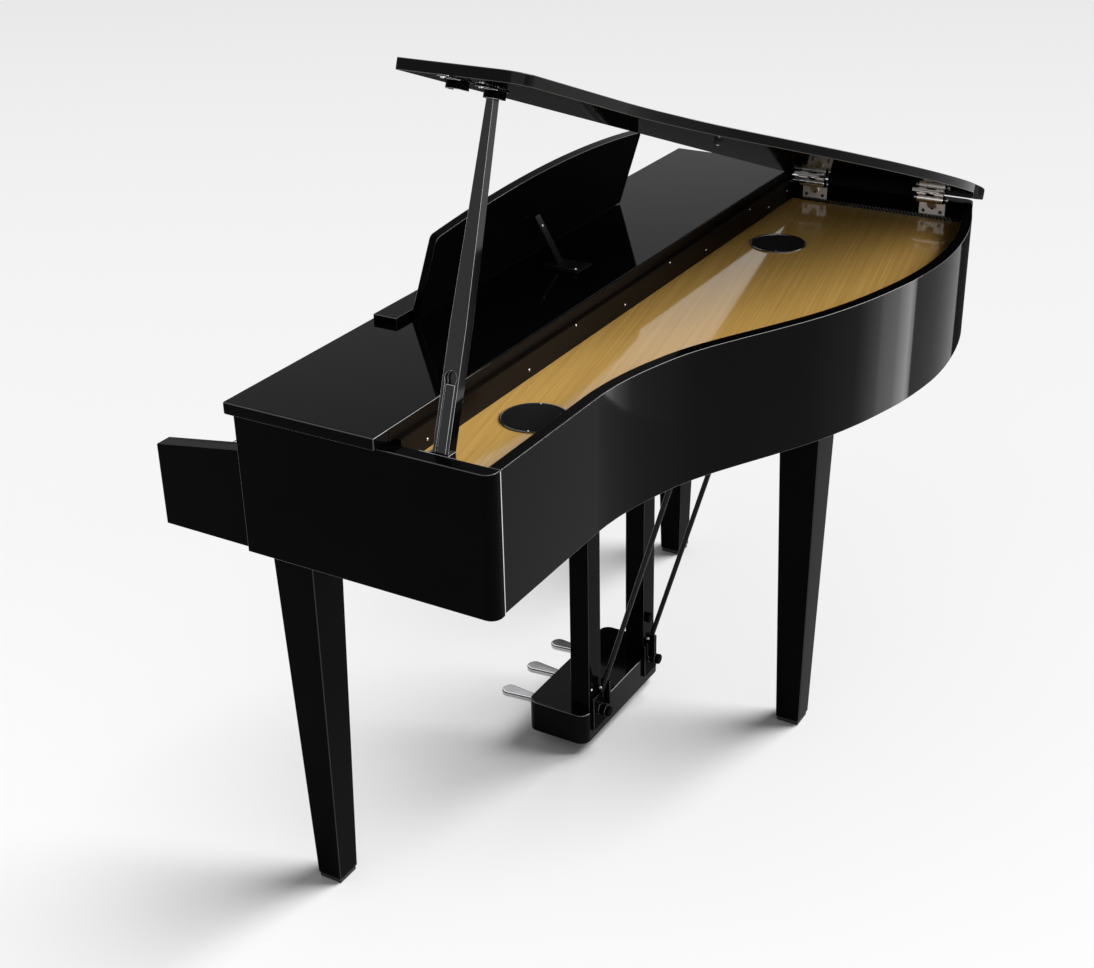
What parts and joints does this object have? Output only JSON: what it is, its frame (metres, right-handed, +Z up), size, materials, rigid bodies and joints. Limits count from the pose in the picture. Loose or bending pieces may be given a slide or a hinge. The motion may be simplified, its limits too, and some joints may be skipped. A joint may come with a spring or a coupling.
{
  "type": "digital grand piano",
  "caption": "Compact digital grand piano with a curved black case, propped lid, soundboard, keyboard, music desk, tapered legs and a pedal lyre.",
  "frame": {"origin": "on the floor, under the middle of the whole piano", "axes": "+X towards the treble end, +Y towards the tail, +Z up"},
  "size_m": [1.501, 0.8875, 1.4249],
  "materials": {
    "lacquer": "gloss black lacquer on board",
    "spruce": "gloss clear lacquer",
    "brown": "satin dark brown",
    "cloth": "matt black cloth",
    "chrome": "polished",
    "steel": "satin",
    "black_metal": "satin black",
    "white": "white gloss",
    "sharp": "matt black",
    "rubber": "matt black",
    "board": "green circuit board"
  },
  "bodies": {
    "case": {"treble_side_panel": "lacquer", "bass_side_panel": "lacquer", "bentside_panel": "lacquer", "top_board": "lacquer", "treble_key_arm": "lacquer", "bass_key_arm": "lacquer", "key_slip": "lacquer", "treble_cheek_block": "lacquer", "bass_cheek_block": "lacquer", "name_board": "lacquer", "leg_treble": "lacquer", "leg_bass": "lacquer", "leg_tail": "lacquer", "lyre_top_plate": "lacquer", "lyre_post_treble": "lacquer", "lyre_post_bass": "lacquer", "pedal_box": "lacquer", "desk_ledge": "lacquer", "soundboard": "spruce", "keybed": "brown", "bottom_board": "brown", "inner_rail": "brown", "speaker_grille_treble": "cloth", "speaker_grille_bass": "cloth", "rim_hinge_leaf_front": "chrome", "rim_hinge_leaf_rear": "chrome", "prop_bracket": "chrome", "key_frame": "steel", "power_supply": "steel", "bass_trim_strip": "black_metal", "speaker_treble": "black_metal", "speaker_bass": "black_metal", "rod_clamp_treble": "black_metal", "rod_clamp_bass": "black_metal", "brace_rod_treble": "black_metal", "brace_rod_bass": "black_metal", "strut_foot_plate": "black_metal", "foot_cap_treble": "rubber", "foot_cap_bass": "rubber", "foot_cap_tail": "rubber", "main_board": "board"},
    "lid": {"lid": "lacquer", "lid_hinge_leaf_front": "chrome", "lid_hinge_leaf_rear": "chrome", "prop_cup_long": "chrome", "prop_cup_short": "chrome"},
    "long_prop": {"long_prop": "lacquer"},
    "short_prop": {"short_prop": "lacquer"},
    "music_desk": {"music_desk": "lacquer"},
    "desk_strut": {"desk_strut": "black_metal"},
    "key_cover": {"sliding_key_cover": "lacquer"},
    "white_keys_bass": {"white_keys_bass": "white"},
    "white_keys_treble": {"white_keys_treble": "white"},
    "black_keys_bass": {"black_keys_bass": "sharp"},
    "black_keys_treble": {"black_keys_treble": "sharp"},
    "pedal_left": {"pedal_left": "chrome"},
    "pedal_middle": {"pedal_middle": "chrome"},
    "pedal_right": {"pedal_right": "chrome"},
    "volume_knob": {"volume_knob": "black_metal"},
    "power_button": {"power_button": "black_metal"}
  },
  "joints": [
    {"name": "lid_hinge", "type": "hinge", "parent": "case", "child": "lid", "pos_m": [-0.7, 0, 0.902], "axis": [0, -1, 0], "range_deg": [0, 4]},
    {"name": "long_prop_hinge", "type": "hinge", "parent": "case", "child": "long_prop", "pos_m": [0.7025, 0.0723, 0.883], "axis": [0, -1, 0], "range_deg": [0, 66]},
    {"name": "short_prop_hinge", "type": "hinge", "parent": "long_prop", "child": "short_prop", "pos_m": [0.70723, 0.0723, 0.88463], "axis": [0, 1, 0], "range_deg": [0, 24]},
    {"name": "music_desk_hinge", "type": "hinge", "parent": "case", "child": "music_desk", "pos_m": [0, -0.2067, 0.9222], "axis": [-1, 0, 0], "range_deg": [0, 50]},
    {"name": "desk_strut_hinge", "type": "hinge", "parent": "music_desk", "child": "desk_strut", "pos_m": [0.012, -0.17946, 1.00243], "axis": [1, 0, 0], "range_deg": [0, 92]},
    {"name": "key_cover_slide", "type": "slide", "parent": "case", "child": "key_cover", "axis": [0, -1, 0], "range_m": [0, 0.15]},
    {"name": "white_keys_bass_hinge", "type": "hinge", "parent": "case", "child": "white_keys_bass", "pos_m": [0, -0.2247, 0.727], "axis": [1, 0, 0], "range_deg": [0, 2.8], "stiffness_Nm_per_rad": 30, "springref_deg": -11.46},
    {"name": "black_keys_bass_hinge", "type": "hinge", "parent": "case", "child": "black_keys_bass", "pos_m": [0, -0.2247, 0.7488], "axis": [1, 0, 0], "range_deg": [0, 2.8], "stiffness_Nm_per_rad": 15, "springref_deg": -11.46},
    {"name": "white_keys_treble_hinge", "type": "hinge", "parent": "case", "child": "white_keys_treble", "pos_m": [0, -0.2247, 0.727], "axis": [1, 0, 0], "range_deg": [0, 2.8], "stiffness_Nm_per_rad": 30, "springref_deg": -11.46},
    {"name": "black_keys_treble_hinge", "type": "hinge", "parent": "case", "child": "black_keys_treble", "pos_m": [0, -0.2247, 0.7488], "axis": [1, 0, 0], "range_deg": [0, 2.8], "stiffness_Nm_per_rad": 15, "springref_deg": -11.46},
    {"name": "pedal_left_hinge", "type": "hinge", "parent": "case", "child": "pedal_left", "pos_m": [-0.096, -0.0287, 0.05], "axis": [1, 0, 0], "range_deg": [0, 4], "stiffness_Nm_per_rad": 60, "springref_deg": -1.72},
    {"name": "pedal_middle_hinge", "type": "hinge", "parent": "case", "child": "pedal_middle", "pos_m": [0, -0.0287, 0.05], "axis": [1, 0, 0], "range_deg": [0, 4], "stiffness_Nm_per_rad": 60, "springref_deg": -1.72},
    {"name": "pedal_right_hinge", "type": "hinge", "parent": "case", "child": "pedal_right", "pos_m": [0.096, -0.0287, 0.05], "axis": [1, 0, 0], "range_deg": [0, 4], "stiffness_Nm_per_rad": 60, "springref_deg": -1.72},
    {"name": "volume_turn", "type": "hinge", "parent": "case", "child": "volume_knob", "pos_m": [-0.65595, -0.3397, 0.7623], "axis": [0, 0, 1], "range_deg": [-140, 140]},
    {"name": "power_press", "type": "slide", "parent": "case", "child": "power_button", "axis": [0, 0, -1], "range_m": [0, 0.002], "stiffness_N_per_m": 400, "springref_m": -0.002}
  ],
  "couplings": [
    {"joint": "desk_strut_hinge", "follows": "music_desk_hinge", "ratio": 1.821}
  ]
}
